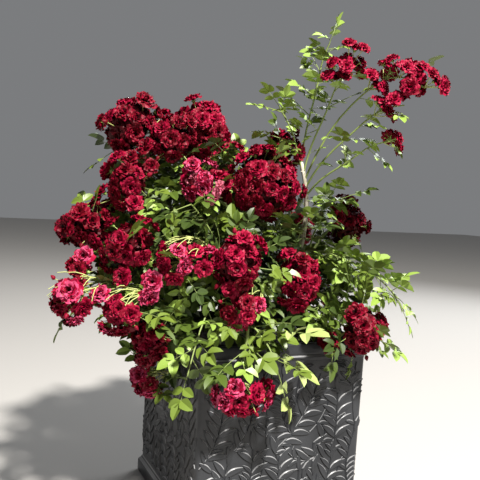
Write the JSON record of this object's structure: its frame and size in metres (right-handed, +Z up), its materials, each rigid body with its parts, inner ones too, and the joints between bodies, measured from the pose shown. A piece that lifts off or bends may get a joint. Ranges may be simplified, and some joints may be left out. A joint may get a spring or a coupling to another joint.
{
  "type": "rose bush in a planter",
  "caption": "Bushy cluster-flowered rose with deep red trusses and hanging leafy shoots, rising from soil in a square leaf-embossed planter.",
  "frame": {"origin": "middle of the planter's flat underside, on the ground", "axes": "+X along the planter's front face to the viewer's right, +Y away from the viewer, +Z up"},
  "size_m": [0.7256, 0.6567, 1.0742],
  "materials": {
    "planter": "satin",
    "soil": "matte",
    "wood": "matte",
    "flowers": "matte",
    "leaves": "satin"
  },
  "bodies": {
    "root": {"bough_back_low": "wood", "bough_back_right": "wood", "bough_centre": "wood", "bough_front_low": "wood", "bough_left_low": "wood", "bough_middle_tall": "wood", "bough_right_low": "wood", "cane_back": "wood", "cane_back_left": "wood", "cane_front": "wood", "cane_left": "wood", "cane_left_tall": "wood", "cane_old": "wood", "cane_right": "wood", "planter": "planter", "shoot_arc": "flowers", "shoot_low_front": "leaves", "shoot_low_left": "leaves", "shoot_middle": "leaves", "shoot_right": "leaves", "shoot_right_high": "leaves", "shoot_rim_right": "leaves", "shoot_side": "flowers", "shoot_side_low": "flowers", "shoot_top": "leaves", "shoot_top_bloom": "flowers", "shoot_top_left": "leaves", "soil": "soil", "stem": "wood", "truss_back": "flowers", "truss_back_high": "flowers", "truss_back_left": "flowers", "truss_back_left_high": "flowers", "truss_back_left_low": "flowers", "truss_back_low": "flowers", "truss_back_right": "flowers", "truss_back_right_low": "flowers", "truss_back_top": "flowers", "truss_bottom_left": "flowers", "truss_centre": "flowers", "truss_faded": "flowers", "truss_far_left": "flowers", "truss_front": "flowers", "truss_front_hanging": "flowers", "truss_front_low": "flowers", "truss_left": "flowers", "truss_low_left": "flowers", "truss_lower_left": "flowers", "truss_middle": "flowers", "truss_middle_left": "flowers", "truss_right": "flowers", "truss_right_centre": "flowers", "truss_right_low": "flowers", "truss_side_right_low": "flowers", "truss_top_left": "flowers", "truss_top_middle": "flowers", "truss_top_right": "flowers", "truss_upper_left": "flowers", "truss_upper_right": "flowers"}
  },
  "joints": []
}
